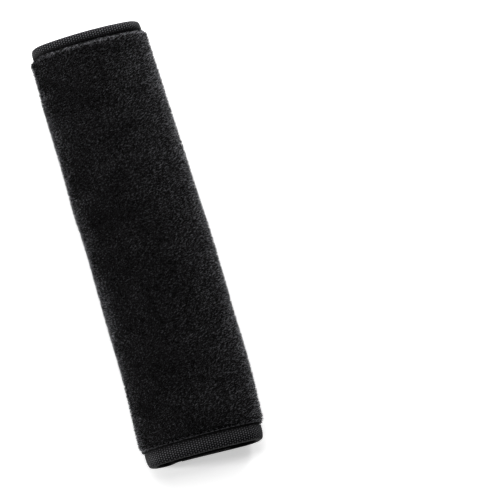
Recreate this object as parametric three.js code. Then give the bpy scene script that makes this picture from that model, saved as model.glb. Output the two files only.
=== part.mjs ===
// Seat belt shoulder pad: a plush sleeve that wraps round a shoulder belt and closes behind it with a
// hook-and-loop lap. Plush cover, foam and lining are layered, and a ribbed tape binds both ends.
// The pad lies on its closure with the plush front up. Units are millimetres: +X across the pad,
// +Y along it towards its narrower top end, +Z up. The origin is on the surface under its middle.

import * as THREE from "three";

// Outside of the closed pad
const PAD_LENGTH = 240;
const TOP_WIDTH = 65;
const MIDDLE_WIDTH = 67.5;
const BOTTOM_WIDTH = 68;
const PAD_HEIGHT = 27;
const FRONT_RADIUS = 80; // the front face's curve across the pad
const SHOULDER_RADIUS = 12; // where the front face turns down into each side

// Layers, from the outside in
const PLUSH = 3.5; // knitted backing with its pile
const FLAP_PLUSH = 2.4; // the same plush, pressed flatter in the closure flaps
const FOAM = 3;
const FOAM_EDGE = 0.6; // the foam is skived to this where the flaps start
const LINING = 0.5;
const CLEARANCE = 0.3; // between any two layers

// Closure flaps, which lap under the pad
const LAP = 26.5; // how far one flap runs over the other
const STEP_TOP_RADIUS = 4; // the upper flap steps up over the lower one through these two curves
const STEP_FOOT_RADIUS = 7;
const FASTENER = 1.2; // thickness of the hook tape, and of the loop tape
const FASTENER_WIDTH = 20;
const FASTENER_INSET = 1.5; // from a flap's free edge
const FASTENER_END = 14; // from each end of the pad

// End bindings, each a ribbed tape folded over all the layers
const TOP_BAND = 6; // how far the tape reaches down from the top end
const BOTTOM_BAND = 8;
const TAPE = 0.7;
const RIB_PITCH = 2.4;
const RIB_HEIGHT = 0.25;
const NOSE = 0.9; // length of the rounded fold
const TAPE_SINK = 1.8; // how far the pile stands above the tape
const FLAP_TAPE_SINK = 0.1;
const PRESSED_PLUSH = 0.7; // the layers' thickness where the tape squeezes them
const PRESSED_FOAM = 1.2;
const PILE_LEDGE = 3.5; // the pile rounds down to the tape over this length
const FEATHER = 4; // the padding swells from the tape to its full thickness over this length

const HALF_LENGTH = PAD_LENGTH / 2;
const TONGUE_START = NOSE + TAPE / 2 + CLEARANCE; // from the pad's end to the layers inside the tape

// Heights of the lap's parts: lower flap, loop tape, hook tape, upper flap
const LOWER_FLAP_TOP = FLAP_PLUSH + CLEARANCE + LINING;
const LOOP_BASE = LOWER_FLAP_TOP + CLEARANCE;
const HOOK_BASE = LOOP_BASE + FASTENER + CLEARANCE;
const UPPER_FLAP = HOOK_BASE + FASTENER + CLEARANCE;

// The wrap's strokes, in order, from the upper flap's free edge round the pad to the lower flap's, each
// with the steps that it is drawn in
const STROKE_STEPS = {
  upper_flap: 2,
  step_top: 3,
  step_foot: 4,
  left_turn: 5,
  left_shoulder: 5,
  front: 8,
  right_shoulder: 5,
  right_turn: 5,
  lower_flap: 2,
};
const STROKE_NAMES = Object.keys(STROKE_STEPS);
const STROKES = STROKE_NAMES.length;
const LEFT_TURN = STROKE_NAMES.indexOf("left_turn");
const RIGHT_TURN = STROKE_NAMES.indexOf("right_turn");
const FOAM_SETBACK = 0.15; // share of each turn, beside its flap, that the foam leaves free

const mix = (a, b, share) => a + (b - a) * share;
const clamp = (x) => Math.min(Math.max(x, 0), 1);
const smooth = (x) => clamp(x) ** 2 * (3 - 2 * clamp(x));

// Width over the plush at y: a parabola through the three widths.
function widthAt(y) {
  const v = y / HALF_LENGTH;
  const slope = (TOP_WIDTH - BOTTOM_WIDTH) / 2;
  const bow = (TOP_WIDTH + BOTTOM_WIDTH) / 2 - MIDDLE_WIDTH;
  return MIDDLE_WIDTH + slope * v + bow * v * v;
}

// The plush's outer line across a pad of this width, as strokes that each start where the last one ends.
// A heading is an angle from +X towards +Z. A positive turn is to the left, and the cavity is on the right.
function wrapPath(width) {
  const half = width / 2;
  const upperRadius = FRONT_RADIUS - SHOULDER_RADIUS;
  const lean = Math.asin((half - SHOULDER_RADIUS) / upperRadius);
  const sideHeight = PAD_HEIGHT - FRONT_RADIUS + upperRadius * Math.cos(lean);
  const stepTurn = Math.acos(1 - UPPER_FLAP / (STEP_TOP_RADIUS + STEP_FOOT_RADIUS));
  const stepRun = (STEP_TOP_RADIUS + STEP_FOOT_RADIUS) * Math.sin(stepTurn);
  const underHalf = half - sideHeight;
  const arc = (radius, turn) => ({ length: radius * Math.abs(turn), turn });
  const flat = (length) => ({ length, turn: 0 });
  const strokes = [
    flat(LAP / 2 + underHalf - stepRun),
    arc(STEP_TOP_RADIUS, stepTurn),
    arc(STEP_FOOT_RADIUS, -stepTurn),
    arc(sideHeight, -Math.PI / 2),
    arc(SHOULDER_RADIUS, lean - Math.PI / 2),
    arc(FRONT_RADIUS, -2 * lean),
    arc(SHOULDER_RADIUS, lean - Math.PI / 2),
    arc(sideHeight, -Math.PI / 2),
    flat(underHalf + LAP / 2),
  ];
  let pose = { x: LAP / 2, z: UPPER_FLAP, heading: Math.PI };
  for (const stroke of strokes) {
    stroke.start = pose;
    pose = along(stroke, 1);
  }
  return strokes;
}

// Position and heading at a share of a stroke's length.
function along(stroke, share) {
  const { x, z, heading } = stroke.start;
  const turned = stroke.turn * share;
  const run = stroke.length * share;
  const chord = turned ? (run * Math.sin(turned / 2)) / (turned / 2) : run;
  const aim = heading + turned / 2;
  return { x: x + chord * Math.cos(aim), z: z + chord * Math.sin(aim), heading: heading + turned };
}

// The point at a depth below the plush's outer line. A station is a stroke's number plus a share of it.
function wrapPoint(station, y, depth) {
  const stroke = Math.min(Math.floor(station), STROKES - 1);
  const { x, z, heading } = along(wrapPath(widthAt(y))[stroke], station - stroke);
  return [x + depth * Math.sin(heading), y, z - depth * Math.cos(heading)];
}

// 0 in the two flaps, 1 over the front and sides, eased through the turns between them.
const bodyShare = (station) => smooth(station - LEFT_TURN) * smooth(RIGHT_TURN + 1 - station);

// 1 where the foam lies under the plush, eased to 0 just past its long edges.
const FOAM_START = LEFT_TURN + FOAM_SETBACK;
const FOAM_STOP = RIGHT_TURN + 1 - FOAM_SETBACK;
const foamShare = (station) =>
  smooth((station - LEFT_TURN) / FOAM_SETBACK) * smooth((RIGHT_TURN + 1 - station) / FOAM_SETBACK);

// Depths of every layer's two faces in the open pad.
function openDepths(station) {
  const body = bodyShare(station);
  const plushInner = mix(FLAP_PLUSH, PLUSH, body);
  const foamOuter = plushInner + CLEARANCE;
  const foamInner = foamOuter + mix(FOAM_EDGE, FOAM, body);
  const foamStack = (foamInner - plushInner) * foamShare(station);
  const liningOuter = plushInner + foamStack + CLEARANCE;
  return { plushOuter: 0, plushInner, foamOuter, foamInner, liningOuter, liningInner: liningOuter + LINING };
}

// The same depths where the end tape squeezes the layers, with the tape's own four faces.
function bandDepths(station) {
  const tapeOuter = mix(FLAP_TAPE_SINK, TAPE_SINK, bodyShare(station));
  const tapeUnder = tapeOuter + TAPE;
  const plushOuter = tapeUnder + CLEARANCE;
  const plushInner = plushOuter + PRESSED_PLUSH;
  const foamOuter = plushInner + CLEARANCE;
  const foamInner = foamOuter + mix(FOAM_EDGE, PRESSED_FOAM, bodyShare(station));
  const liningOuter = plushInner + (foamInner - plushInner) * foamShare(station) + CLEARANCE;
  const liningInner = liningOuter + LINING;
  const legOuter = liningInner + CLEARANCE;
  const legInner = legOuter + TAPE;
  return {
    plushOuter, plushInner, foamOuter, foamInner, liningOuter, liningInner,
    tapeOuter, tapeUnder, legOuter, legInner,
  };
}

// How much of the band's depth is left at y: the pile's face drops steeply, the other faces slope.
function bandShares(y) {
  const band = y > 0 ? TOP_BAND : BOTTOM_BAND;
  const beyond = HALF_LENGTH - Math.abs(y) - band - CLEARANCE;
  const ledge = 1 - clamp(beyond / PILE_LEDGE);
  return { pile: 1 - Math.sqrt(1 - ledge * ledge), padding: 1 - smooth(beyond / FEATHER) };
}

function faceDepth(face, station, y) {
  const shares = bandShares(y);
  const share = face === "plushOuter" ? shares.pile : shares.padding;
  return mix(openDepths(station)[face], bandDepths(station)[face], share);
}

// A closed solid through rings of points. A ring runs along one skin and back along the other, so its
// point j lies across the thickness from its point n - 1 - j, and the two end rings are capped that way.
function loft(rings) {
  const n = rings[0].length;
  const faces = [];
  const quad = (a, b, c, d) => faces.push(a, b, c, a, c, d);
  for (let start = 0; start < (rings.length - 1) * n; start += n) {
    for (let j = 0; j < n; j++) {
      const next = (j + 1) % n;
      quad(start + j, start + n + j, start + n + next, start + next);
    }
  }
  const last = (rings.length - 1) * n;
  for (let j = 0; j + 1 < n / 2; j++) {
    quad(j, j + 1, n - 2 - j, n - 1 - j);
    quad(last + j, last + n - 1 - j, last + n - 2 - j, last + j + 1);
  }
  const geometry = new THREE.BufferGeometry();
  geometry.setAttribute("position", new THREE.Float32BufferAttribute(rings.flat(2), 3));
  geometry.setIndex(faces);
  geometry.computeVertexNormals();
  return geometry;
}

// Stations between two limits: even steps along each stroke, and the foam's two long edges.
function stationsBetween(from, to) {
  const steps = Object.values(STROKE_STEPS).flatMap((count, stroke) =>
    Array.from({ length: count }, (_, i) => stroke + i / count),
  );
  const all = [...steps, FOAM_START, FOAM_STOP, STROKES].sort((a, b) => a - b);
  return all.filter((station) => station >= from && station <= to);
}

// Places along the pad: close together beside each tape, as shares of the swelling there, then wide apart.
const PILE_SHARES = [0, 0.06, 0.25, 0.55, 1];
const PADDING_SHARES = [0, 0.5, 1];
const OPEN_STEPS = 5;

function lengthPlaces(shares) {
  const toEnd = (band) => [
    HALF_LENGTH - TONGUE_START,
    ...shares.map((share) => HALF_LENGTH - band - CLEARANCE - share * FEATHER),
  ];
  const bottom = toEnd(BOTTOM_BAND).map((y) => -y);
  const top = toEnd(TOP_BAND).reverse();
  const open = Array.from({ length: OPEN_STEPS - 1 }, (_, i) => mix(bottom.at(-1), top[0], (i + 1) / OPEN_STEPS));
  return [...bottom, ...open, ...top];
}

// One sewn layer between two of its faces.
function layer(from, to, outerFace, innerFace, shares) {
  const places = lengthPlaces(shares);
  const rings = stationsBetween(from, to).map((station) => [
    ...places.map((y) => wrapPoint(station, y, faceDepth(outerFace, station, y))),
    ...places.toReversed().map((y) => wrapPoint(station, y, faceDepth(innerFace, station, y))),
  ]);
  return loft(rings);
}

// The station at a distance along the wrap.
function stationAt(strokes, distance) {
  let left = distance;
  for (const [number, stroke] of strokes.entries()) {
    if (left <= stroke.length) return number + left / stroke.length;
    left -= stroke.length;
  }
  return STROKES;
}

// A folded tape round one end: end is 1 for the top and -1 for the bottom. Its ribs run along the pad.
function binding(end, band) {
  const strokes = wrapPath(widthAt(end * HALF_LENGTH));
  const wrapLength = strokes.reduce((sum, stroke) => sum + stroke.length, 0);
  const halfRibs = 2 * Math.round(wrapLength / RIB_PITCH);
  const rings = [];
  for (let i = 0; i <= halfRibs; i++) {
    const station = stationAt(strokes, (wrapLength * i) / halfRibs);
    const { tapeOuter, tapeUnder, legOuter, legInner } = bandDepths(station);
    const crest = tapeOuter + (i % 2 ? 0 : RIB_HEIGHT);
    const middle = (tapeOuter + legInner) / 2;
    const profile = [
      [band, crest],
      [NOSE, crest],
      [0, middle],
      [NOSE, legInner],
      [band, legInner],
      [band, legOuter],
      [NOSE + TAPE / 2, legOuter],
      [TAPE, middle],
      [NOSE + TAPE / 2, tapeUnder],
      [band, tapeUnder],
    ];
    rings.push(profile.map(([inset, depth]) => wrapPoint(station, end * (HALF_LENGTH - inset), depth)));
  }
  return loft(end > 0 ? rings : rings.reverse());
}

const plushBlack = new THREE.MeshStandardMaterial({ color: "#1c1c1d", roughness: 0.95, metalness: 0 });
const foamGrey = new THREE.MeshStandardMaterial({ color: "#4a4a4c", roughness: 0.9, metalness: 0 });
const liningBlack = new THREE.MeshStandardMaterial({ color: "#222224", roughness: 0.8, metalness: 0 });
const tapeBlack = new THREE.MeshStandardMaterial({ color: "#2a2a2c", roughness: 0.7, metalness: 0 });
const fastenerBlack = new THREE.MeshStandardMaterial({ color: "#18181a", roughness: 0.85, metalness: 0 });

const pad = new THREE.Group();

function addMesh(name, geometry, material) {
  const mesh = new THREE.Mesh(geometry, material);
  mesh.name = name;
  pad.add(mesh);
  return mesh;
}

addMesh("plush_cover", layer(0, STROKES, "plushOuter", "plushInner", PILE_SHARES), plushBlack);
addMesh("foam_pad", layer(FOAM_START, FOAM_STOP, "foamOuter", "foamInner", PADDING_SHARES), foamGrey);
addMesh("inner_lining", layer(0, STROKES, "liningOuter", "liningInner", PADDING_SHARES), liningBlack);
addMesh("top_binding", binding(1, TOP_BAND), tapeBlack);
addMesh("bottom_binding", binding(-1, BOTTOM_BAND), tapeBlack);

// The two fasteners: each is sewn near its own flap's free edge, hooks facing down onto loops.
const fastenerShape = new THREE.BoxGeometry(FASTENER_WIDTH, PAD_LENGTH - 2 * FASTENER_END, FASTENER);
const fastenerReach = LAP / 2 - FASTENER_INSET - FASTENER_WIDTH / 2;
const loopTape = addMesh("loop_tape", fastenerShape, fastenerBlack);
loopTape.position.set(-fastenerReach, 0, LOOP_BASE + FASTENER / 2);
const hookTape = addMesh("hook_tape", fastenerShape, fastenerBlack);
hookTape.position.set(fastenerReach, 0, HOOK_BASE + FASTENER / 2);

export default pad;
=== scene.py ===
# Seat belt shoulder pad: a plush sleeve for a car's shoulder belt. Lining, foam and plush are laid on
# each other, bound with ribbed tape at both ends, wrapped round and closed under the pad with hooks
# and loops. Everything is in metres, in the part's own frame, with the plush front facing up.

import bmesh
import bpy
import numpy as np
from mathutils import Matrix, Vector


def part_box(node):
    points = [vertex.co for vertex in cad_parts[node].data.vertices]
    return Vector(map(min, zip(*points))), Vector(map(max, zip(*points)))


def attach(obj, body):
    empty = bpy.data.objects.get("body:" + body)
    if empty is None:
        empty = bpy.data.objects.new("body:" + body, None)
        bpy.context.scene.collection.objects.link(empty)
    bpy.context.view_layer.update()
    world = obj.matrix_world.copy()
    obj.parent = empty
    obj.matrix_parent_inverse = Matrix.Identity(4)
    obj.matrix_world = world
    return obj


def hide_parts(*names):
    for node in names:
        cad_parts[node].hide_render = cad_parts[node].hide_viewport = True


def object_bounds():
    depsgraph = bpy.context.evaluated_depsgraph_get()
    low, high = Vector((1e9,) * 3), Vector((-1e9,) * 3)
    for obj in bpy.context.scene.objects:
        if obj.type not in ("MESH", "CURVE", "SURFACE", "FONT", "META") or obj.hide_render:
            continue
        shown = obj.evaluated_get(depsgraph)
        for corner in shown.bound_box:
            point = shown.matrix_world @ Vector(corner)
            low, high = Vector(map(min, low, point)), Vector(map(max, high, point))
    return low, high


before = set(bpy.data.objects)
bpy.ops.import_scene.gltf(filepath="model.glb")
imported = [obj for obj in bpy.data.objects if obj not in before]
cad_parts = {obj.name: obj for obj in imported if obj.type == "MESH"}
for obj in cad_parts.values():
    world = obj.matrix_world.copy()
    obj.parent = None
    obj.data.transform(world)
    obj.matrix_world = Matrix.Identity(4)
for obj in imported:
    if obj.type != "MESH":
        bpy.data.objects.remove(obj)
cad_low, cad_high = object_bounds()

# Inner lining
# A woven polyester cloth, which lies against the belt. It is the innermost of the wrapped layers,
# and it is sewn to them under the end tapes. The way every layer wraps is worked out here.

mm = 0.001
CLEARANCE = 0.3 * mm  # between one layer and the next
HALF_LENGTH = (cad_high.y - cad_low.y) / 2
PAD_HEIGHT = cad_high.z
TOP_WIDTH = 65 * mm
MIDDLE_WIDTH = 67.5 * mm
BOTTOM_WIDTH = 68 * mm
FRONT_RADIUS = 80 * mm
SHOULDER_RADIUS = 12 * mm
STEP_TOP_RADIUS = 4 * mm  # the upper flap steps up over the lower one in two bends
STEP_FOOT_RADIUS = 7 * mm
LAP = 26.5 * mm
UPPER_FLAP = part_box("hook_tape")[1].z + CLEARANCE

STROKES = 9  # straight and curved strokes of the wrap
LEFT_TURN, RIGHT_TURN = 3, 7  # the strokes that turn up into the sides


def smooth(x):
    x = np.clip(x, 0, 1)
    return x * x * (3 - 2 * x)


def between(a, b, share):
    return a + (b - a) * share


def strokes_at(y):
    """Length and turn of each stroke of the wrap, from the upper flap's free edge to the lower's."""
    v = y / HALF_LENGTH
    bow = (TOP_WIDTH + BOTTOM_WIDTH) / 2 - MIDDLE_WIDTH
    half = (MIDDLE_WIDTH + (TOP_WIDTH - BOTTOM_WIDTH) / 2 * v + bow * v * v) / 2
    upper = FRONT_RADIUS - SHOULDER_RADIUS
    lean = np.arcsin((half - SHOULDER_RADIUS) / upper)
    side = PAD_HEIGHT - FRONT_RADIUS + upper * np.cos(lean)
    step = STEP_TOP_RADIUS + STEP_FOOT_RADIUS
    step_turn = np.arccos(1 - UPPER_FLAP / step)
    under = half - side
    quarter = np.pi / 2
    return [
        (LAP / 2 + under - step * np.sin(step_turn), 0),
        (STEP_TOP_RADIUS * step_turn, step_turn),
        (STEP_FOOT_RADIUS * step_turn, -step_turn),
        (side * quarter, -quarter),
        (SHOULDER_RADIUS * (quarter - lean), lean - quarter),
        (FRONT_RADIUS * 2 * lean, -2 * lean),
        (SHOULDER_RADIUS * (quarter - lean), lean - quarter),
        (side * quarter, -quarter),
        (under + LAP / 2, 0),
    ]


def stroke_ends(y):
    """Distances round the wrap at which its strokes end."""
    return np.cumsum([0, *(length for length, _ in strokes_at(y))])


def stations_for(distance, y=0.0):
    """Stations, which count strokes, at these distances round the wrap."""
    return np.interp(distance, stroke_ends(y), np.arange(STROKES + 1))


def distances_for(station):
    return np.interp(station, np.arange(STROKES + 1), stroke_ends(0.0))


WRAP_LENGTH = sum(length for length, _ in strokes_at(0.0))

# Sewn by hand: both ends run a little lower on the right, the pad bends to the left near its bottom
# end, and the flaps are drawn in there, the lower one the most.
TOP_SLANT = 0.009
BOTTOM_SLANT = 0.027
LONG_BEND, LONG_BEND_FROM = 0.9 * mm, 95 * mm
END_BEND, END_BEND_FROM, END_BEND_REACH = 2.3 * mm, -60 * mm, 65 * mm
DRAWN_IN, DRAWN_IN_FROM, DRAWN_IN_REACH = 1.1 * mm, -80 * mm, 40 * mm
LAP_DRAWN_IN = 0.5


def wrap(station, y, depth):
    """The points at a depth under the pile's tips, and the wrap's heading there."""
    x, z, heading = LAP / 2, UPPER_FLAP, np.pi
    for number, (length, turn) in enumerate(strokes_at(y)):
        share = np.clip(station - number, 0, 1)
        chord = length * share * np.sinc(turn * share / 2 / np.pi)
        aim = heading + turn * share / 2
        x = x + chord * np.cos(aim)
        z = z + chord * np.sin(aim)
        heading = heading + turn * share
    x = x + depth * np.sin(heading)
    z = z - depth * np.cos(heading)
    slant = between(BOTTOM_SLANT, TOP_SLANT, smooth((y + HALF_LENGTH) / (2 * HALF_LENGTH)))
    bend = LONG_BEND * smooth((LONG_BEND_FROM - y) / LONG_BEND_FROM)
    bend = bend - END_BEND * smooth((END_BEND_FROM - y) / END_BEND_REACH)
    lap = 1 + LAP_DRAWN_IN * smooth((station - RIGHT_TURN - 1) / (STROKES - RIGHT_TURN - 1))
    drawn_in = DRAWN_IN * lap * (1 - z / PAD_HEIGHT) * smooth((DRAWN_IN_FROM - y) / DRAWN_IN_REACH)
    return np.stack([x + bend, y - slant * x + drawn_in, z], -1), heading


# Thicknesses. The plush is measured over its pile, and its ground lies under the pile's tips.
PLUSH = 3.5 * mm
FLAP_PLUSH = 2.4 * mm
GROUND_DEPTH = 1.7 * mm
FLAP_GROUND_DEPTH = 0.9 * mm
FOAM = 3 * mm
FOAM_EDGE = 0.6 * mm
LINING = 0.5 * mm

# Under the end tapes the layers are pressed together, and the tape sinks in.
TOP_BAND = 6 * mm
BOTTOM_BAND = 8 * mm
TAPE = 0.7 * mm
NOSE = 0.9 * mm  # radius of the tape's fold round the pad's end
TAPE_SINK = 1.8 * mm
FLAP_TAPE_SINK = 0.1 * mm
PRESSED_PLUSH = 0.7 * mm
PRESSED_FOAM = 1.2 * mm
TONGUE_START = NOSE + TAPE / 2 + CLEARANCE  # the layers end this far inside the tape's fold

UPRIGHT = 0.8  # share of a side's stroke over which it counts as turning upright
FOAM_TAPER = 0.15  # share of a stroke over which the foam thins out


def body_share(station):
    """0 in the closure flaps, 1 over the front and the sides."""
    return smooth(station - LEFT_TURN) * smooth(RIGHT_TURN + 1 - station)


def front_share(station):
    """1 over the front, falling to 0 where the sides stand upright."""
    return smooth((station - LEFT_TURN - 1) / UPRIGHT) * smooth((RIGHT_TURN - station) / UPRIGHT)


def foam_share(station):
    return smooth((station - LEFT_TURN) / FOAM_TAPER) * smooth((RIGHT_TURN + 1 - station) / FOAM_TAPER)


def layer_depths(station, plush_outer, plush_inner, foam):
    """Depths of the layers' faces. Past the foam's edges the lining comes down on the plush."""
    foam_outer = plush_inner + CLEARANCE
    foam_inner = foam_outer + between(FOAM_EDGE, foam, body_share(station))
    lining_outer = plush_inner + (foam_inner - plush_inner) * foam_share(station) + CLEARANCE
    return {
        "plush_outer": plush_outer,
        "plush_inner": plush_inner,
        "foam_outer": foam_outer,
        "foam_inner": foam_inner,
        "lining_outer": lining_outer,
        "lining_inner": lining_outer + LINING,
    }


def open_depths(station):
    """The faces' depths away from the ends."""
    body = body_share(station)
    plush_outer = between(FLAP_GROUND_DEPTH, GROUND_DEPTH, body)
    return layer_depths(station, plush_outer, between(FLAP_PLUSH, PLUSH, body), FOAM)


def band_depths(station):
    """The same depths under the end tapes, with the faces of the tape's two legs."""
    tape_outer = between(FLAP_TAPE_SINK, TAPE_SINK, body_share(station))
    plush_outer = tape_outer + TAPE + CLEARANCE
    depths = layer_depths(station, plush_outer, plush_outer + PRESSED_PLUSH, PRESSED_FOAM)
    leg_outer = depths["lining_inner"] + CLEARANCE
    return depths | {
        "tape_outer": tape_outer,
        "tape_under": tape_outer + TAPE,
        "leg_outer": leg_outer,
        "leg_inner": leg_outer + TAPE,
    }


def band_at(y):
    """Width of the nearer end tape."""
    return np.where(y > 0, TOP_BAND, BOTTOM_BAND)


def past_tape(y):
    """Distance from the nearer tape's edge, towards the pad's middle."""
    return HALF_LENGTH - np.abs(y) - band_at(y) - CLEARANCE


SEAM_DIP = 1.2 * mm
SEAM_ROLL = 0.8  # share of the tape's width over which the end rolls down
SEAM_REACH = 3 * mm


def seam_dip(station, y):
    """How far the stitches pull the layers in beside a tape's edge, so that the end is a soft roll."""
    past = past_tape(y)
    rolled = 1 - np.sqrt(1 - np.clip(1 + past / (band_at(y) * SEAM_ROLL), 0, 1) ** 2)
    return SEAM_DIP * front_share(station) * np.where(past > 0, 1 - smooth(past / SEAM_REACH), rolled)


def drift(x, y, size, seed):
    """Smooth random waves from -1 to 1, with this distance between their crests and hollows."""
    lattice = np.random.default_rng(seed).uniform(-1, 1, (256, 256))
    i, j = np.floor(x / size).astype(int), np.floor(y / size).astype(int)
    u, v = smooth(x / size - i), smooth(y / size - j)
    near = between(lattice[i % 256, j % 256], lattice[(i + 1) % 256, j % 256], u)
    far = between(lattice[i % 256, (j + 1) % 256], lattice[(i + 1) % 256, (j + 1) % 256], u)
    return between(near, far, v)


PILE_LEDGE = 4 * mm  # the plush ground drops under the tapes over this distance
FEATHER = 4 * mm  # and the other layers over this one
STROKE_SPAN = 17 * mm  # a stroke's usual length
SWELLS = [(0.35 * mm, 26 * mm, 3), (0.15 * mm, 11 * mm, 4)]  # height, size and seed


def hand_wave(station, y):
    """How the filled pad swells and sinks by a fraction of a millimetre, as sewn foam does."""
    away = smooth(past_tape(y) / (3 * FEATHER)) * body_share(station)
    return away * sum(
        height * drift(station * STROKE_SPAN, y, size, seed) for height, size, seed in SWELLS
    )


def face_depth(face, station, y):
    share = 1 - smooth(past_tape(y) / FEATHER)
    if face == "plush_outer":
        ledge = 1 - np.clip(past_tape(y) / PILE_LEDGE, 0, 1)
        share = 1 - np.sqrt(1 - ledge**2)
    depth = between(open_depths(station)[face], band_depths(station)[face], share)
    return depth + hand_wave(station, y) + seam_dip(station, y)


def as_object(name, bm):
    mesh = bpy.data.meshes.new(name)
    bm.to_mesh(mesh)
    bm.free()
    piece = bpy.data.objects.new(name, mesh)
    bpy.context.collection.objects.link(piece)
    return piece


def closed_round(name, stations, rows, place):
    """A closed piece from a flat grid: column i stands at a station, and the rows run round the
    piece's own section, so that the last row meets the first. place(station, row) gives y, depth and
    the point's painted light: how far it stands up from the hollows of the weave, which the material
    paints paler as a painted highlight, times the painted shade beside the plush."""
    bm = bmesh.new()
    columns = len(stations) - 1
    bmesh.ops.create_grid(bm, x_segments=columns, y_segments=rows, size=1)
    flat = np.array([v.co for v in bm.verts])
    column = np.rint((flat[:, 0] + 1) / 2 * columns).astype(int)
    row = np.rint((flat[:, 1] + 1) / 2 * rows).astype(int)
    cloth = bm.loops.layers.uv.new("OFBake")
    for face in bm.faces:
        for loop in face.loops:
            loop[cloth].uv = (loop.vert.co.xy + Vector((1, 1))) / 2 * 0.98 + Vector((0.01, 0.01))
    y, depth, painted_lights = place(stations[column], row)
    points, _ = wrap(stations[column], y, depth)
    painted_light = bm.verts.layers.float.new("painted_light")
    for vert, point, height in zip(bm.verts, points, painted_lights):
        vert.co = point
        vert[painted_light] = height
    bmesh.ops.remove_doubles(bm, verts=bm.verts, dist=0.002 * mm)
    bmesh.ops.recalc_face_normals(bm, faces=bm.faces)
    for face in bm.faces:
        face.smooth = True
    return as_object(name, bm)


def edge_spaced(pitch):
    """Places along the pad at this pitch, and three times closer beside the tapes."""
    end = HALF_LENGTH - TONGUE_START
    bottom = np.arange(-end, -HALF_LENGTH + BOTTOM_BAND + 2 * FEATHER, pitch / 3)
    top = np.arange(HALF_LENGTH - TOP_BAND - 2 * FEATHER, end, pitch / 3)
    middle = np.arange(bottom[-1] + pitch, top[0] - pitch / 2, pitch)
    return np.concatenate([bottom, middle, top, [end]])


def layer(name, start, stop, outer_face, inner_face, column_pitch, row_pitch):
    """One sewn layer between two of its faces, rounded to nothing at its two long edges."""
    length = WRAP_LENGTH * (stop - start) / STROKES
    first, last = distances_for(np.array([start, stop]))
    stations = stations_for(between(first, last, np.linspace(0, 1, int(length / column_pitch))))
    places = edge_spaced(row_pitch)
    rows = 2 * len(places)

    def place(station, row):
        row = row % rows
        outer = row < len(places)
        y = places[np.where(outer, row, rows - 1 - row)]
        top = face_depth(outer_face, station, y)
        under = face_depth(inner_face, station, y)
        distance = distances_for(station)
        to_edge = np.minimum(distance - first, last - distance)
        roundness = np.clip(to_edge / (under - top) * 2, 0, 1)
        fullness = np.sqrt(1 - (1 - roundness) ** 2)
        middle = (top + under) / 2
        return y, middle + (np.where(outer, top, under) - middle) * fullness, np.zeros(len(y))

    return closed_round(name, stations, rows, place)


def srgb(text):
    """A colour written as sRGB hex, as the linear colour that a socket takes."""
    values = [int(text[i : i + 2], 16) / 255 for i in (1, 3, 5)]
    linear = [v / 12.92 if v <= 0.04045 else ((v + 0.055) / 1.055) ** 2.4 for v in values]
    return (*linear, 1.0)


def new_material(name):
    material = bpy.data.materials.new(name)
    material.use_nodes = True
    return material, material.node_tree, material.node_tree.nodes["Principled BSDF"]


def set_inputs(node, inputs):
    """Each input takes a value or is linked to another node's socket."""
    for key, value in dict(inputs).items():
        if isinstance(value, bpy.types.NodeSocket):
            node.id_data.links.new(value, node.inputs[key])
        else:
            node.inputs[key].default_value = value


def add_node(tree, kind, settings=(), inputs=(), stops=()):
    """One node: its settings are attributes, and a colour ramp's stops are places and colours."""
    node = tree.nodes.new(kind)
    for key, value in dict(settings).items():
        setattr(node, key, value)
    for number, (place, colour) in enumerate(stops):
        node.color_ramp.elements[number].position = place
        node.color_ramp.elements[number].color = srgb(colour)
    set_inputs(node, inputs)
    return node


def dress(piece, material, slot, *nodes):
    """Gives a piece its material, the body that it rides on and the solids it stands for. The slot is
    not used.
    """
    piece.data.materials.append(material)
    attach(piece, "root")
    if nodes:
        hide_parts(*nodes)


# Woven polyester taffeta: matt, with a fine over-and-under weave. The real threads are 0.25 mm apart,
# too fine to show, so they are drawn 0.8 mm apart.
LINING_THREAD = 0.8 * mm
WAVE_PERIOD = 0.314  # how far apart a wave texture's bands are at a scale of 1

lining_cloth, tree, shader = new_material("black_woven_polyester_lining")
position = add_node(tree, "ShaderNodeTexCoord").outputs["Object"]
threads = {"Vector": position, "Scale": WAVE_PERIOD / LINING_THREAD, "Distortion": 0.4}
warp = add_node(tree, "ShaderNodeTexWave", {"bands_direction": "Y"}, threads)
weft = add_node(tree, "ShaderNodeTexWave", {"bands_direction": "X"}, threads)
weave = add_node(
    tree, "ShaderNodeMath", {"operation": "MULTIPLY"},
    {0: warp.outputs["Fac"], 1: weft.outputs["Fac"]},
).outputs[0]
tones = add_node(
    tree, "ShaderNodeValToRGB",
    inputs={"Fac": weave}, stops=[(0.3, "#141416"), (0.7, "#262629")],
)
relief = add_node(
    tree, "ShaderNodeBump", inputs={"Height": weave, "Strength": 0.5, "Distance": 0.15 * mm}
)
set_inputs(shader, {
    "Base Color": tones.outputs["Color"],
    "Normal": relief.outputs["Normal"],
    "Roughness": 0.75,
    "Sheen Weight": 0.1,
})

lining = layer(
    "inner_lining_cloth", 0, STROKES, "lining_outer", "lining_inner",
    column_pitch=1.6 * mm, row_pitch=3 * mm,
)
dress(lining, lining_cloth, "lining", "inner_lining")

# Foam padding
# A 3 mm sheet of open-cell polyurethane foam, skived thin at its long edges, which fills out the front
# and the sides. It is squeezed flat where the end tapes hold it.

# Polyurethane foam: grey and dull, pitted all over by its cut cells. The real cells are about 0.5 mm
# wide, and they are drawn 0.9 mm wide so that they show.
FOAM_CELL = 0.9 * mm

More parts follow.
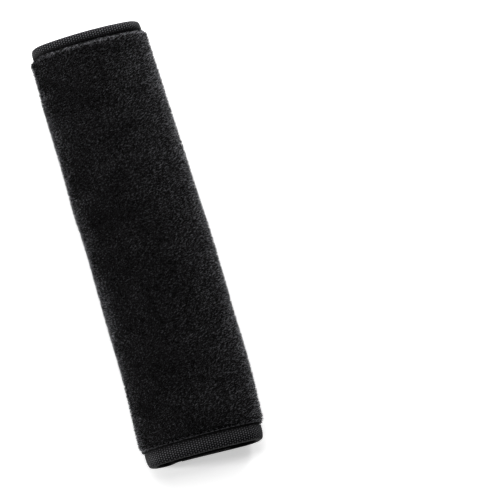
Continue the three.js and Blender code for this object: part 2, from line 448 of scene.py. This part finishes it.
foam_material, tree, shader = new_material("grey_open_cell_foam")
position = add_node(tree, "ShaderNodeTexCoord").outputs["Object"]
cells = add_node(
    tree, "ShaderNodeTexVoronoi", inputs={"Vector": position, "Scale": 1 / FOAM_CELL}
).outputs["Distance"]
tones = add_node(
    tree, "ShaderNodeValToRGB",
    inputs={"Fac": cells}, stops=[(0.3, "#3c3c3e"), (0.7, "#5c5c5f")],
)
relief = add_node(
    tree, "ShaderNodeBump", inputs={"Height": cells, "Strength": 0.6, "Distance": 0.3 * mm}
)
set_inputs(shader, {
    "Base Color": tones.outputs["Color"],
    "Normal": relief.outputs["Normal"],
    "Roughness": 0.95,
})

foam = layer(
    "foam_padding", LEFT_TURN + FOAM_TAPER, RIGHT_TURN + 1 - FOAM_TAPER, "foam_outer", "foam_inner",
    column_pitch=2.4 * mm, row_pitch=4 * mm,
)
dress(foam, foam_material, "foam", "foam_pad")

# Plush cover
# Black knitted plush, wrapped round the foam with its pile outwards. The ground cloth is one closed
# layer, and the pile stands on it as tufts that lean across it, and swirl where hands brush it.

# Knitted ground: dull black, and uneven with the knit's loops, which are 1.1 mm apart. It shows only
# as the dark between the tufts.
KNIT_LOOP = 1.1 * mm

ground_material, tree, shader = new_material("black_knitted_plush_ground")
position = add_node(tree, "ShaderNodeTexCoord").outputs["Object"]
knit = add_node(
    tree, "ShaderNodeTexNoise", inputs={"Vector": position, "Scale": 1 / KNIT_LOOP, "Detail": 4}
).outputs["Fac"]
tones = add_node(
    tree, "ShaderNodeValToRGB",
    inputs={"Fac": knit}, stops=[(0.3, "#0a0a0b"), (0.7, "#141415")],
)
relief = add_node(
    tree, "ShaderNodeBump", inputs={"Height": knit, "Strength": 0.8, "Distance": 0.4 * mm}
)
set_inputs(shader, {
    "Base Color": tones.outputs["Color"],
    "Normal": relief.outputs["Normal"],
    "Roughness": 0.95,
    "Specular IOR Level": 0.25,
})

cover = layer(
    "plush_ground", 0, STROKES, "plush_outer", "plush_inner",
    column_pitch=1.4 * mm, row_pitch=2.4 * mm,
)
dress(cover, ground_material, "plush", "plush_cover")

# Acrylic plush pile: painted black between the tufts, a painted shade where no light gets in, and
# painted paler in flecks where groups of fibres catch the light, a painted highlight. Seen along the
# surface it is painted paler too, a painted sheen, because only the tips show there. The attribute nap
# holds the direction in which the pile as a whole stands. The real fibres are 0.03 mm thick, too fine
# to show, so the pattern is of groups of them.
FLECK_WIDTH = 0.45 * mm
FLECK_LENGTH = 1.6 * mm
BRUSHED_PATCH = 6 * mm  # size of the patches that hands have brushed a little lighter or darker
NAP_TURN = np.radians(18.5)  # the way that the pile is brushed, from straight across the pad

pile_material, tree, shader = new_material("black_acrylic_plush_pile")
position = add_node(tree, "ShaderNodeTexCoord").outputs["Object"]
turned = add_node(
    tree, "ShaderNodeMapping", {"vector_type": "TEXTURE"},
    {
        "Vector": position,
        "Rotation": (0, 0, NAP_TURN),
        "Scale": (FLECK_LENGTH, FLECK_WIDTH, FLECK_LENGTH),
    },
)
flecks = add_node(
    tree, "ShaderNodeTexNoise", inputs={"Vector": turned.outputs[0], "Scale": 1, "Detail": 3}
)
# Painted highlight: flecks of the noise are painted paler, as groups of fibres that catch the light.
painted_glints = add_node(
    tree, "ShaderNodeMapRange",
    inputs={"Value": flecks.outputs["Fac"], "From Min": 0.48, "From Max": 0.57},
)
patches = add_node(
    tree, "ShaderNodeTexNoise", inputs={"Vector": position, "Scale": 1 / BRUSHED_PATCH, "Detail": 3}
)
brushed = add_node(
    tree, "ShaderNodeMath", {"operation": "MULTIPLY_ADD"},
    {0: patches.outputs["Fac"], 1: 0.3, 2: 0.35},
)
# Painted shade: each tuft's colour is darkened towards its root, where the pile shades itself.
tip = add_node(tree, "ShaderNodeAttribute", {"attribute_name": "painted_light"})
painted_tip_flecks = add_node(
    tree, "ShaderNodeMath", {"operation": "MULTIPLY"},
    {0: painted_glints.outputs[0], 1: tip.outputs["Fac"]},
)
lit = add_node(
    tree, "ShaderNodeMath", {"operation": "MULTIPLY"},
    {0: painted_tip_flecks.outputs[0], 1: brushed.outputs[0]},
)
tones = add_node(
    tree, "ShaderNodeValToRGB",
    inputs={"Fac": lit.outputs[0]}, stops=[(0.08, "#020202"), (0.8, "#505053")],
)
# Painted sheen: where the pile is seen along its surface, its colour is made up to six times paler.
nap = add_node(tree, "ShaderNodeAttribute", {"attribute_name": "nap"})
facing = add_node(
    tree, "ShaderNodeLayerWeight", inputs={"Blend": 0.5, "Normal": nap.outputs["Vector"]}
)
grazing = add_node(
    tree, "ShaderNodeMath", {"operation": "POWER"},
    {0: facing.outputs["Facing"], 1: 0.7},
)
painted_sheen = add_node(
    tree, "ShaderNodeMath", {"operation": "MULTIPLY_ADD"},
    {0: grazing.outputs[0], 1: 5.0, 2: 1.0},
)
colour = add_node(
    tree, "ShaderNodeVectorMath", {"operation": "SCALE"},
    {0: tones.outputs["Color"], "Scale": painted_sheen.outputs[0]},
)
set_inputs(shader, {
    "Base Color": colour.outputs[0],
    "Roughness": 0.7,
    "Specular IOR Level": 0.03,
    "Sheen Weight": 0.045,
    "Sheen Roughness": 0.45,
})

PILE_PITCH = 0.54 * mm
FLAP_PILE_PITCH = 0.95 * mm
PILE_HEIGHT = 2.3 * mm
FLAP_PILE_HEIGHT = 0.95 * mm
PILE_LEAN = 1.6 * mm
TUFT_WIDTH = (0.32, 0.5)  # thinnest and thickest, in mm
ROOT_SINK = 0.15 * mm  # how far the tufts stand in the ground
RIM = 1.2 * mm  # the tufts stand twice as close along the plush's two cut ends
BOTTOM_RIM_START = 1.0 * mm  # distance of the outermost tufts from each tape
TOP_RIM_START = 2.1 * mm
FREE_EDGE = 0.6 * mm  # bare strip along the flaps' free edges
STEEPEST = 0.4  # beside the tapes the tufts tip over by this slope at most

# How the tufts vary: the nap's swirls (turn in radians, size and seed), then each clump and each tuft
SWIRLS = [(0.5, 9 * mm, 11), (0.3, 3.5 * mm, 12)]
CLUMP = 1.2 * mm  # tufts cling together in clumps of about this width
CLUMP_TURN, STRAY_TURN = 0.8, 0.2
CLUMP_LEAN = 0.6
CLUMP_HEIGHT, STRAY_HEIGHT = 0.16, 0.03
CLUMP_PULL = 0.6

# Beside the tapes the pile stands more evenly over the front. Along the lower row of stitches it is
# worn short, and painted lighter, a painted highlight of its lit side.
EVEN_OVER = 3 * mm
EVEN_LEAN = 0.15
WORN_TO, WORN_FROM, WORN_OVER = 0.35, 1.2 * mm, 1.4 * mm
# Painted highlight beside the lower stitches: how much lighter the tufts are painted, and over what
# distance.
PAINTED_LIT_SIDE, PAINTED_LIT_SIDE_OVER = 1.8, 5 * mm

rng = np.random.default_rng(7)


def pile_roots(start, stop, pitch):
    """Jittered places on the plush: distance round the wrap, and y."""
    first, last = distances_for(np.array([start, stop]))
    low = -HALF_LENGTH + BOTTOM_BAND + BOTTOM_RIM_START
    high = HALF_LENGTH - TOP_BAND - TOP_RIM_START
    rows = [(low, high, pitch), (low, low + RIM, pitch / 2), (high - RIM, high, pitch / 2)]
    places = []
    for near, far, apart in rows:
        across, along = np.meshgrid(
            np.arange(first, last, apart), np.arange(near, far, apart), indexing="ij"
        )
        jitter = rng.uniform(-0.5, 0.5, (2, across.size)) * apart
        places.append(np.stack([across.ravel(), along.ravel()]) + jitter)
    distance, y = np.concatenate(places, axis=1)
    inside = (distance > FREE_EDGE) & (distance < WRAP_LENGTH - FREE_EDGE) & (y > low) & (y < high)
    return distance[inside], y[inside]


def nearest_clump(distance, y):
    """The middle of the clump that each tuft belongs to, and a random number of the clump's own."""
    jitter = np.random.default_rng(31).uniform(0, 1, (3, 256, 256))
    i, j = np.floor(distance / CLUMP).astype(int), np.floor(y / CLUMP).astype(int)
    best = np.full(distance.size, np.inf)
    middle = np.zeros((2, distance.size))
    own = np.zeros(distance.size)
    for di in (-1, 0, 1):
        for dj in (-1, 0, 1):
            across, along, number = jitter[:, (i + di) % 256, (j + dj) % 256]
            at = np.stack([(i + di + across) * CLUMP, (j + dj + along) * CLUMP])
            away = np.hypot(at[0] - distance, at[1] - y)
            nearer = away < best
            best = np.where(nearer, away, best)
            middle = np.where(nearer, at, middle)
            own = np.where(nearer, number, own)
    return middle[0], middle[1], own


def ground_under(station, y):
    """Where tufts are rooted, and the ground's directions there: round the wrap, along it and out."""
    root, heading = wrap(station, y, face_depth("plush_outer", station, y) + ROOT_SINK)
    step = 0.05 * mm
    rise = face_depth("plush_outer", station, y + step) - face_depth("plush_outer", station, y - step)
    slope = np.clip(rise / (2 * step), -STEEPEST, STEEPEST)[:, None]
    along = np.array([0.0, 1.0, 0.0])
    around = np.stack([np.cos(heading), 0 * y, np.sin(heading)], -1)
    outward = np.stack([-np.sin(heading), 0 * y, np.cos(heading)], -1)
    uphill = (along - outward * slope) / np.hypot(1, slope)
    return root, around, uphill, (outward + along * slope) / np.hypot(1, slope)


def tuft_reach(distance, y, station, around, uphill, normal):
    """From each tuft's root to its tip, and the number of its clump's own."""
    clump_distance, clump_y, own = nearest_clump(distance, y)
    body = body_share(station)
    inside = between(1, smooth(past_tape(y) / EVEN_OVER), front_share(station))
    swirl = sum(turn * drift(distance, y, size, seed) for turn, size, seed in SWIRLS)
    swirl = np.pi / 2 - NAP_TURN + swirl + CLUMP_TURN * (own - 0.5)
    swirl = (swirl + rng.normal(0, STRAY_TURN, y.size)) * inside
    lean = PILE_LEAN * between(EVEN_LEAN, 1 + CLUMP_LEAN * (own - 0.5), inside) * between(0.8, 1, body)
    scatter = CLUMP_HEIGHT * (own - 0.5) * inside + rng.normal(0, STRAY_HEIGHT, y.size)
    height = between(FLAP_PILE_HEIGHT, PILE_HEIGHT, body) * (1 + scatter * body)
    worn = between(WORN_TO, 1, smooth((past_tape(y) - WORN_FROM) / WORN_OVER))
    height = np.where(y < 0, height * worn, height)
    pull = CLUMP_PULL * inside
    reach = around * (np.sin(swirl) * lean + pull * (clump_distance - distance))[:, None]
    reach += uphill * (np.cos(swirl) * lean + pull * (clump_y - y))[:, None]
    reach += normal * height[:, None]
    return reach, own


def tuft():
    """One tuft of fibres as a slim three-sided spike, one unit long and one unit across."""
    bm = bmesh.new()
    bmesh.ops.create_cone(bm, cap_ends=True, segments=3, radius1=0.5, radius2=0, depth=1)
    bmesh.ops.remove_doubles(bm, verts=bm.verts, dist=0.01)
    bmesh.ops.translate(bm, verts=bm.verts, vec=(0, 0, 0.5))
    bmesh.ops.triangulate(bm, faces=bm.faces)
    corners = np.array([v.co for v in bm.verts])
    faces = np.array([[v.index for v in f.verts] for f in bm.faces])
    bm.free()
    return corners, faces


def pile(name, start, stop, pitch):
    """Tufts over a stretch of the plush, which lean with the nap and towards their clump's middle."""
    distance, y = pile_roots(start, stop, pitch)
    station = stations_for(distance)
    root, around, uphill, normal = ground_under(station, y)
    reach, own = tuft_reach(distance, y, station, around, uphill, normal)
    aim = reach / np.linalg.norm(reach, axis=1)[:, None]
    width = rng.uniform(*TUFT_WIDTH, y.size) * mm * np.sqrt(pitch / PILE_PITCH)

    # The same tuft is set on every root, turned and stretched to its reach.
    corners, faces = tuft()
    side = np.cross(aim, np.array([0.0, 1.0, 0.0]) + 0.3 * around)
    side /= np.linalg.norm(side, axis=1)[:, None]
    third = np.cross(aim, side)
    points = (
        root[:, None]
        + corners[None, :, 0, None] * width[:, None, None] * side[:, None]
        + corners[None, :, 1, None] * width[:, None, None] * third[:, None]
        + corners[None, :, 2, None] * reach[:, None]
    )
    count, per = len(root), len(corners)
    triangles = (faces[None] + per * np.arange(count)[:, None, None]).reshape(-1, 3)
    mesh = bpy.data.meshes.new(name)
    mesh.vertices.add(count * per)
    mesh.vertices.foreach_set("co", points.ravel())
    mesh.loops.add(triangles.size)
    mesh.loops.foreach_set("vertex_index", triangles.ravel())
    mesh.polygons.add(len(triangles))
    mesh.polygons.foreach_set("loop_start", np.arange(0, triangles.size, 3))
    mesh.update(calc_edges=True)

    # Painted shade and highlight: each tuft is painted dark at its root and lighter to its tip, by a
    # random share for its clump, and lighter still beside the lower stitches.
    painted_lit_side = np.where(y < 0, between(PAINTED_LIT_SIDE, 1, smooth(past_tape(y) / PAINTED_LIT_SIDE_OVER)), 1)
    painted_tip_light = corners[None, :, 2] * ((0.9 + 0.3 * own) * painted_lit_side)[:, None]
    painted_light = mesh.attributes.new("painted_light", "FLOAT", "POINT")
    painted_light.data.foreach_set("value", painted_tip_light.ravel())
    nap = mesh.attributes.new("nap", "FLOAT_VECTOR", "POINT")
    nap.data.foreach_set("vector", np.repeat(normal, per, axis=0).ravel())
    # The pile is shaded as one soft surface, with only a share of each tuft's own roundness.
    shading = 0.8 * normal[:, None] + 0.3 * aim[:, None] + 1.5 * (
        corners[None, :, 0, None] * side[:, None] + corners[None, :, 1, None] * third[:, None]
    )
    shading = shading.reshape(-1, 3)
    mesh.normals_split_custom_set_from_vertices(shading / np.linalg.norm(shading, axis=1)[:, None])

    first, last = distances_for(np.array([start, stop]))
    spread = corners[faces.ravel()][None, :, :2] * 1.2 * mm
    u = (distance[:, None] + spread[:, :, 0] - first) / (last - first)
    v = (y[:, None] + spread[:, :, 1] + HALF_LENGTH) / (2 * HALF_LENGTH)
    uv = mesh.uv_layers.new(name="OFBake")
    uv.data.foreach_set("uv", np.clip(np.stack([u, v], -1), 0.001, 0.999).ravel())
    piece = bpy.data.objects.new(name, mesh)
    bpy.context.collection.objects.link(piece)
    dress(piece, pile_material, "plush", "plush_cover")


BACK_LEFT_END, FRONT_MIDDLE, FRONT_RIGHT_END = LEFT_TURN + 0.6, STROKES / 2 + 1, RIGHT_TURN + 0.4
pile("plush_pile_back_left", 0, BACK_LEFT_END, FLAP_PILE_PITCH)
pile("plush_pile_front_left", BACK_LEFT_END, FRONT_MIDDLE, PILE_PITCH)
pile("plush_pile_front_right", FRONT_MIDDLE, FRONT_RIGHT_END, PILE_PITCH)
pile("plush_pile_back_right", FRONT_RIGHT_END, STROKES, FLAP_PILE_PITCH)

# End bindings
# Ribbed nylon tape, folded over all the layers at each end. The ribs run over the fold, and each
# rib's filling threads show as a row of small beads.

# Ribbed nylon: a low lustre, with the beads' tops painted paler, a painted highlight, and the grooves
# painted black, a painted shade. The real ribs are 1.2 mm apart and the beads 1.1 mm, and they are
# drawn a little coarser, so that the beads show.
RIB_PITCH = 1.4 * mm
RIB_HEIGHT = 0.35 * mm
BEAD_PITCH = 1.3 * mm
NYLON_FIBRE = 0.5 * mm

tape_material, tree, shader = new_material("black_ribbed_nylon_tape")
position = add_node(tree, "ShaderNodeTexCoord").outputs["Object"]
fibres = add_node(
    tree, "ShaderNodeTexNoise",
    inputs={"Vector": position, "Scale": 1 / NYLON_FIBRE, "Detail": 4, "Roughness": 0.6},
)
painted_light = add_node(tree, "ShaderNodeAttribute", {"attribute_name": "painted_light"})
# Painted light, not wear: the fibres' noise is scaled by each point's painted light, so the beads'
# tops are painted paler, a painted highlight, and the hollows black, a painted shade.
worn = add_node(
    tree, "ShaderNodeMath", {"operation": "MULTIPLY"},
    {0: fibres.outputs["Fac"], 1: painted_light.outputs["Fac"]},
)
tones = add_node(
    tree, "ShaderNodeValToRGB",
    inputs={"Fac": worn.outputs[0]}, stops=[(0.1, "#010102"), (0.62, "#6c6c70")],
)
relief = add_node(
    tree, "ShaderNodeBump",
    inputs={"Height": fibres.outputs["Fac"], "Strength": 0.4, "Distance": 0.1 * mm},
)
set_inputs(shader, {
    "Base Color": tones.outputs["Color"],
    "Normal": relief.outputs["Normal"],
    "Roughness": 0.5,
    "Specular IOR Level": 0.08,
})

DROOP = {1: 1.2 * mm, -1: 1.9 * mm}  # how far the tape's outer face falls away into the fold
# Painted shade: beside the plush the tape's colour is painted darker, down to this share at each end.
PAINTED_GROOVE_LIGHT = {1: 0.1, -1: 0.7}  # light left where the tape goes under the plush, at each end
GROOVE_REACH = 0.5  # share of the tape's width over which that light comes back
# On the flaps the beads are pressed lower, and since their height also sets the colour, the flaps'
# tape is painted darker there, a painted shade under the pad.
FLAP_BEADS_AND_SHADE = 0.35  # how far the beads stand up where the flaps are pressed together
FOLD_BEAD = 0.4  # over the fold the ribs run on unbroken, at this share of a bead's height
STEPS_PER_RIB = 4
STEPS_PER_BEAD = 4


def close_ends(piece):
    """Closes the tape's two cut ends."""
    bm = bmesh.new()
    bm.from_mesh(piece.data)
    made = bmesh.ops.holes_fill(bm, edges=[edge for edge in bm.edges if edge.is_boundary], sides=0)
    bmesh.ops.triangulate(bm, faces=made["faces"])
    bmesh.ops.recalc_face_normals(bm, faces=bm.faces)
    bm.to_mesh(piece.data)
    bm.free()


def binding(name, end, band, node):
    """A tape folded over one end of the pad: end is 1 at the top and -1 at the bottom."""
    at = end * HALF_LENGTH
    length = sum(stroke for stroke, _ in strokes_at(at))
    ribs = round(length / RIB_PITCH)
    distance = np.linspace(0, length, ribs * STEPS_PER_RIB + 1)
    stations = stations_for(distance, at)

    # The section's rows: distance from the pad's end, share of the way round the fold, and whether the
    # row is on the tape's outer skin
    leg = np.arange(band, NOSE, -BEAD_PITCH / STEPS_PER_BEAD)
    turn = np.linspace(0, np.pi, 9)
    inner_start = NOSE + TAPE / 2
    rows = [(inset, 0, 1) for inset in leg]
    rows += [(NOSE * (1 - np.sin(t)), (1 - np.cos(t)) / 2, 1) for t in turn]
    rows += [(band * 0.5, 1, 1), (band, 1, 1), (band, 1, 0), (band * 0.5, 1, 0), (inner_start, 1, 0)]
    rows += [(TAPE, 0.5, 0), (inner_start, 0, 0), (band * 0.5, 0, 0), (band, 0, 0)]
    inset, fold, outer = np.array(rows).T

    def place(station, row):
        row = row % len(rows)
        depths = band_depths(station)
        fall = np.clip(1 - inset[row] / (3 * DROOP[end]), 0, 1)
        droop = DROOP[end] * (1 - np.sqrt(1 - fall**2)) * (1 - fold[row]) * body_share(station)
        skin = between(depths["tape_outer"], depths["leg_inner"], fold[row]) + droop
        under = between(depths["tape_under"], depths["leg_outer"], fold[row]) + droop
        around = np.interp(station, stations, distance) / (length / ribs)
        rib = 0.5 + 0.5 * np.cos(2 * np.pi * around)
        every_other = np.round(around) % 2
        bead = 0.5 + 0.5 * np.cos(2 * np.pi * inset[row] / BEAD_PITCH + np.pi * every_other)
        bead = between(bead, FOLD_BEAD, smooth(4 * fold[row]))
        # Pressed flaps: lower beads, and a darker painted colour, a painted shade under the pad.
        pressed_and_shaded = between(FLAP_BEADS_AND_SHADE, 1, body_share(station))
        height = rib * (0.1 + 0.9 * bead) * outer[row] * pressed_and_shaded
        # Painted shade in the groove beside the plush: this goes into the colour only.
        groove_shade = between(PAINTED_GROOVE_LIGHT[end], 1, smooth((band - inset[row]) / (GROOVE_REACH * band)))
        relief = RIB_HEIGHT * (1 - height) * outer[row] * np.clip(1 - fold[row], 0, 1)
        y = end * (HALF_LENGTH - inset[row])
        depth = np.where(outer[row] == 1, skin, under) + relief + seam_dip(station, y)
        return y, depth, height * groove_shade

    piece = closed_round(name, stations, len(rows), place)
    close_ends(piece)
    dress(piece, tape_material, "binding", node)


binding("top_binding_tape", 1, TOP_BAND, "top_binding")
binding("bottom_binding_tape", -1, BOTTOM_BAND, "bottom_binding")

# Sewing thread
# Black polyester thread. A row of lock stitches lies in the pile beside each tape, goes all the way
# round, and holds the layers together.

# Twisted thread: smoother than the pile, so that each stitch shows as a short grey dash in it. The
# real thread is 0.3 mm thick, and it is drawn twice as thick so that it shows.
STITCH = 2.5 * mm
STITCH_GAP = 0.35 * mm
THREAD = 0.6 * mm
TWIST = 0.4 * mm

thread_material, tree, shader = new_material("black_polyester_thread")
position = add_node(tree, "ShaderNodeTexCoord").outputs["Object"]
twist = add_node(
    tree, "ShaderNodeTexNoise", inputs={"Vector": position, "Scale": 1 / TWIST, "Detail": 3}
).outputs["Fac"]
tones = add_node(
    tree, "ShaderNodeValToRGB",
    inputs={"Fac": twist}, stops=[(0.3, "#1c1c1e"), (0.7, "#323235")],
)
relief = add_node(
    tree, "ShaderNodeBump", inputs={"Height": twist, "Strength": 0.5, "Distance": 0.1 * mm}
)
set_inputs(shader, {
    "Base Color": tones.outputs["Color"],
    "Normal": relief.outputs["Normal"],
    "Roughness": 0.5,
    "Specular IOR Level": 0.25,
})

FLAP_STITCH_DEPTH = 0.35 * mm


def stitches(name, end, band, offset, depth):
    """A row of bent stitches at an offset from a tape's edge, at a depth in the pile."""
    y = end * (HALF_LENGTH - band - offset)
    pitch = STITCH + STITCH_GAP
    bm = bmesh.new()
    for centre in np.arange(2 * pitch, WRAP_LENGTH - 2 * pitch, pitch):
        made = bmesh.ops.create_uvsphere(bm, u_segments=6, v_segments=6, radius=1)
        local = np.array([v.co for v in made["verts"]])
        station = stations_for(centre + local[:, 2] * STITCH / 2)
        up = local[:, 1] * THREAD / 2 - THREAD * 0.5 * local[:, 2] ** 4
        sunk = between(FLAP_STITCH_DEPTH, depth, body_share(station)) - up
        points, _ = wrap(station, y + local[:, 0] * THREAD / 2, sunk)
        for vert, point in zip(made["verts"], points):
            vert.co = point
    bmesh.ops.recalc_face_normals(bm, faces=bm.faces)
    for face in bm.faces:
        face.smooth = True
    dress(as_object(name, bm), thread_material, "binding")


stitches("bottom_binding_thread", -1, BOTTOM_BAND, offset=1.2 * mm, depth=1.0 * mm)
stitches("top_binding_thread", 1, TOP_BAND, offset=1.5 * mm, depth=1.4 * mm)

# Closure tapes
# Two woven nylon strips, 20 mm wide: one carries small hooks and is sewn under the upper flap, the
# other carries a nap of loops and is sewn on the lower flap. They face each other, pressed shut.

# Woven nylon: black with a faint gloss, and uneven with its weave. The hooks stand 1.7 mm apart. The
# real loops are far finer, so small knobs at the same spacing stand for bunches of them.
NYLON_WEAVE = 0.8 * mm
HOOK_PITCH = 1.7 * mm

nylon, tree, shader = new_material("black_woven_nylon")
position = add_node(tree, "ShaderNodeTexCoord").outputs["Object"]
weave = add_node(
    tree, "ShaderNodeTexNoise", inputs={"Vector": position, "Scale": 1 / NYLON_WEAVE, "Detail": 3}
).outputs["Fac"]
tones = add_node(
    tree, "ShaderNodeValToRGB",
    inputs={"Fac": weave}, stops=[(0.3, "#121213"), (0.7, "#202022")],
)
relief = add_node(
    tree, "ShaderNodeBump", inputs={"Height": weave, "Strength": 0.6, "Distance": 0.2 * mm}
)
set_inputs(shader, {
    "Base Color": tones.outputs["Color"],
    "Normal": relief.outputs["Normal"],
    "Roughness": 0.7,
})


def fastener(node, ground_from, ground_to, studs_at):
    """The tape's woven ground between two heights, and places for its hooks or loops. Heights are
    shares of the solid's thickness."""
    low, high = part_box(node)
    size = high - low
    size.z *= ground_to - ground_from
    middle = (low + high) / 2
    middle.z = between(low.z, high.z, (ground_from + ground_to) / 2)
    bm = bmesh.new()
    bmesh.ops.create_cube(bm, size=1)
    bmesh.ops.scale(bm, verts=bm.verts, vec=size)
    bmesh.ops.translate(bm, verts=bm.verts, vec=middle)
    bmesh.ops.bevel(
        bm, geom=bm.edges[:], offset=0.15 * mm, segments=2, profile=0.5, affect="EDGES", material=-1
    )
    across = np.arange(low.x + HOOK_PITCH, high.x - HOOK_PITCH / 2, HOOK_PITCH)
    along = np.arange(low.y + HOOK_PITCH, high.y - HOOK_PITCH / 2, HOOK_PITCH)
    z = between(low.z, high.z, studs_at)
    return bm, [Matrix.Translation((x, y, z)) for x in across for y in along]


bm, studs = fastener("hook_tape", ground_from=0.55, ground_to=1, studs_at=0.32)
for stud in studs:
    bmesh.ops.create_cone(
        bm, cap_ends=True, segments=4, radius1=0.4 * mm, radius2=0.15 * mm, depth=0.6 * mm, matrix=stud
    )
dress(as_object("hook_tape_strip", bm), nylon, "fastener", "hook_tape")

bm, studs = fastener("loop_tape", ground_from=0, ground_to=0.5, studs_at=0.7)
for stud in studs:
    bmesh.ops.create_icosphere(bm, subdivisions=1, radius=0.36 * mm, matrix=stud)
dress(as_object("loop_tape_strip", bm), nylon, "fastener", "loop_tape")

# Floor
# A plain white surface under the pad. It shows white to the camera, and keeps the pad's soft shadow,
# because only a part of its white is added light.

FLOOR_HALF = 0.8
FLOOR_DROP = 0.2 * mm
SHOWN_WHITE = 0.5  # light that the camera sees from the floor besides what falls on it

# Matt white paint: it scatters all the light, without gloss.
floor_material, tree, shader = new_material("white_studio_floor")
rays = add_node(tree, "ShaderNodeLightPath")
seen = add_node(
    tree, "ShaderNodeMath", {"operation": "MULTIPLY"},
    {0: rays.outputs["Is Camera Ray"], 1: SHOWN_WHITE},
)
set_inputs(shader, {
    "Base Color": srgb("#f4f4f4"),
    "Roughness": 0.9,
    "Specular IOR Level": 0.0,
    "Emission Color": (1, 1, 1, 1),
    "Emission Strength": seen.outputs[0],
})

bm = bmesh.new()
bmesh.ops.create_grid(bm, x_segments=4, y_segments=4, size=FLOOR_HALF)
bmesh.ops.translate(bm, verts=bm.verts, vec=(0, 0, -FLOOR_DROP))
floor = as_object("studio_floor", bm)
floor.data.materials.append(floor_material)

# Light
# A large soft lamp overhead, a low one beyond the pad's top end, and a low one on each side that
# catches the pile. Past the floor the studio is white to the camera, and gives only a little light.

STUDIO_LIGHT = 0.1

world = bpy.data.worlds.new("studio")
world.use_nodes = True
backdrop = world.node_tree.nodes["Background"]
rays = add_node(world.node_tree, "ShaderNodeLightPath")
shown = add_node(
    world.node_tree, "ShaderNodeMath", {"operation": "MULTIPLY_ADD"},
    {0: rays.outputs["Is Camera Ray"], 1: 1 - STUDIO_LIGHT, 2: STUDIO_LIGHT},
)
set_inputs(backdrop, {"Color": (1, 1, 1, 1), "Strength": shown.outputs[0]})
bpy.context.scene.world = world


def soft_lamp(name, position, width, length, power):
    lamp = bpy.data.lights.new(name, "AREA")
    lamp.shape = "RECTANGLE"
    lamp.size, lamp.size_y, lamp.energy = width, length, power
    holder = bpy.data.objects.new(name, lamp)
    holder.location = position
    holder.rotation_euler = (-Vector(position)).to_track_quat("-Z", "Y").to_euler()
    bpy.context.collection.objects.link(holder)


soft_lamp("key_lamp", (0.0, 0.6, 1.25), width=1.0, length=0.9, power=10.8)
soft_lamp("end_lamp", (0.1, 1.5, 0.18), width=1.2, length=0.2, power=34)
soft_lamp("left_lamp", (-1.4, 0.1, 0.2), width=0.2, length=1.2, power=31)
soft_lamp("right_lamp", (0.7, 0.65, 0.22), width=0.2, length=0.6, power=10.5)

# Camera
# The pad was photographed nearly square on, from a little below the picture's middle, with its top end
# leaning to the left.

CAMERA_DISTANCE = 2.3
LOOK_TILT = np.radians(12)  # off square, towards the foot of the picture
PAD_LEAN = np.radians(16.5)
FRAME_PIXELS = 500
PER_PIXEL = 0.5363 * mm
PAD_AT = (146, 239.4)  # the pad's middle in the photograph
PAD_AT_HEIGHT = 0.8 * PAD_HEIGHT
SENSOR = 36.0

lean_x, lean_y = np.sin(PAD_LEAN), np.cos(PAD_LEAN)
ahead = Vector((np.sin(LOOK_TILT) * lean_x, np.sin(LOOK_TILT) * lean_y, -np.cos(LOOK_TILT)))
right = Vector((lean_y, -lean_x, 0))
up = right.cross(ahead)
off_middle = right * (FRAME_PIXELS / 2 - PAD_AT[0]) - up * (FRAME_PIXELS / 2 - PAD_AT[1])
aim = Vector((0, 0, PAD_AT_HEIGHT)) + off_middle * PER_PIXEL

camera = bpy.data.objects.new("camera", bpy.data.cameras.new("camera"))
camera.data.sensor_width = SENSOR
camera.data.lens = SENSOR * CAMERA_DISTANCE / (FRAME_PIXELS * PER_PIXEL)
camera.data.clip_end = 20
facing = Matrix((right, up, -ahead)).transposed()
camera.matrix_world = Matrix.Translation(aim - ahead * CAMERA_DISTANCE) @ facing.to_4x4()
bpy.context.collection.objects.link(camera)
bpy.context.scene.camera = camera
bpy.context.scene.view_settings.view_transform = "Standard"
